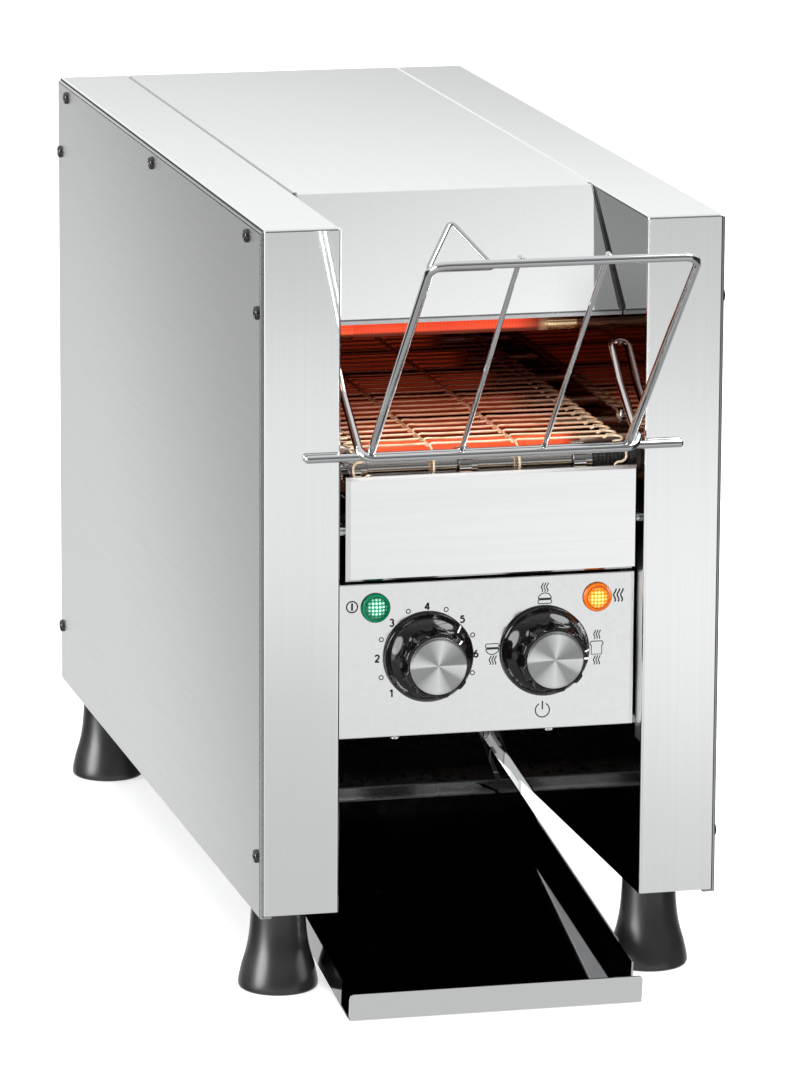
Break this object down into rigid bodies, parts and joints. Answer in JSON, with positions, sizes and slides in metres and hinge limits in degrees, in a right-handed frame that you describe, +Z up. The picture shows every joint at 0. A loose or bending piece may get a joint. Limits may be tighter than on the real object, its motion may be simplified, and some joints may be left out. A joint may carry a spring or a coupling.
{
  "type": "conveyor toaster",
  "caption": "Countertop conveyor toaster with wire belt, lifting bread rack, quartz heaters, speed and heat dials, and slide-out toast tray on rubber feet.",
  "frame": {"origin": "on the standing surface, under the middle of the overall box", "axes": "+Z up, -Y towards the infeed front, +X to the viewer's right"},
  "size_m": [0.257, 0.7052, 0.4313],
  "materials": {
    "stainless": "bright satin stainless sheet",
    "panel_steel": "fine satin stainless sheet",
    "hood_steel": "satin stainless sheet",
    "mirror_steel": "polished stainless",
    "wire_steel": "polished round wire",
    "belt_wire": "heat-tinted spring wire",
    "screw_steel": "zinc-plated pan heads",
    "shaft_steel": "turned bar",
    "foot_rubber": "satin black moulded rubber",
    "black_plastic": "glossy black moulding",
    "bush_plastic": "black high-temperature plastic",
    "knob_cap": "spun aluminium disc",
    "lens_green": "green translucent lens",
    "lens_amber": "amber translucent lens",
    "quartz_glow": "quartz tube glowing red",
    "cap_metal": "end cap",
    "galvanised": "zinc-coated sheet",
    "circuit_board": "green circuit board",
    "pale_plastic": "off-white moulding"
  },
  "bodies": {
    "casing": {"left_housing": "stainless", "right_housing": "stainless", "left_side_panel": "stainless", "right_side_panel": "stainless", "left_base_plate": "galvanised", "right_base_plate": "galvanised", "rubber_feet": "foot_rubber", "foot_screws": "screw_steel", "top_hood": "hood_steel", "rear_cover": "stainless", "cord_gland": "black_plastic", "front_fascia": "mirror_steel", "fascia_fixings": "screw_steel", "control_panel": "panel_steel", "control_box": "galvanised", "control_box_lid": "galvanised", "power_lamp_lens": "lens_green", "heat_lamp_lens": "lens_amber", "lamp_holders": "pale_plastic", "speed_control": "galvanised", "selector_switch": "pale_plastic", "panel_nuts": "screw_steel", "speed_board": "circuit_board", "terminal_block": "pale_plastic", "safety_thermostat": "cap_metal", "fan_frame": "black_plastic", "conveyor_belt": "belt_wire", "shaft_bushes": "bush_plastic", "wall_bolts": "wire_steel", "lower_heater_tubes": "quartz_glow", "upper_heater_tubes": "quartz_glow", "heater_end_caps": "cap_metal", "lower_reflector": "mirror_steel", "upper_reflector": "mirror_steel", "drive_chain": "shaft_steel", "motor_bracket": "galvanised", "gear_motor": "galvanised", "toast_chute": "stainless", "tray_support_strap": "stainless", "casing_screws": "screw_steel", "inner_screws": "screw_steel"},
    "speed_dial": {"speed_knob": "black_plastic", "speed_knob_cap": "knob_cap", "speed_spindle": "shaft_steel"},
    "selector_dial": {"selector_knob": "black_plastic", "selector_knob_cap": "knob_cap", "selector_spindle": "shaft_steel"},
    "front_roller": {"front_shaft": "shaft_steel", "front_sprockets": "shaft_steel", "front_shaft_collars": "shaft_steel", "front_spacer_tubes": "galvanised"},
    "drive_roller": {"drive_shaft": "shaft_steel", "drive_sprockets": "shaft_steel", "drive_chain_wheel": "shaft_steel"},
    "motor_output": {"motor_shaft": "shaft_steel", "motor_chain_wheel": "shaft_steel"},
    "fan_rotor": {"fan_rotor": "black_plastic"},
    "tray": {"toast_tray": "stainless"},
    "rack": {"infeed_rack": "wire_steel"}
  },
  "joints": [
    {"name": "rack_lift", "type": "hinge", "parent": "casing", "child": "rack", "pos_m": [0, -0.16585, 0.3492], "axis": [-1, 0, 0], "range_deg": [0, 60]},
    {"name": "tray_pull", "type": "slide", "parent": "casing", "child": "tray", "axis": [0, -1, 0], "range_m": [0, 0.25]},
    {"name": "speed_turn", "type": "hinge", "parent": "casing", "child": "speed_dial", "pos_m": [-0.0321, -0.21935, 0.1902], "axis": [0, -1, 0], "range_deg": [-67.5, 180]},
    {"name": "selector_turn", "type": "hinge", "parent": "casing", "child": "selector_dial", "pos_m": [0.0321, -0.21935, 0.1902], "axis": [0, -1, 0], "range_deg": [-90, 180]},
    {"name": "drive_spin", "type": "hinge", "parent": "casing", "child": "drive_roller", "pos_m": [0, 0.20565, 0.2939], "axis": [1, 0, 0], "continuous": true},
    {"name": "front_spin", "type": "hinge", "parent": "casing", "child": "front_roller", "pos_m": [0, -0.20235, 0.2939], "axis": [1, 0, 0], "continuous": true},
    {"name": "motor_spin", "type": "hinge", "parent": "casing", "child": "motor_output", "pos_m": [0.096, 0.20565, 0.17], "axis": [1, 0, 0], "continuous": true},
    {"name": "fan_spin", "type": "hinge", "parent": "casing", "child": "fan_rotor", "pos_m": [0, -0.00735, 0.2], "axis": [0, 1, 0], "continuous": true}
  ],
  "couplings": [
    {"joint": "front_spin", "follows": "drive_spin", "ratio": 1},
    {"joint": "motor_spin", "follows": "drive_spin", "ratio": 1.2}
  ]
}
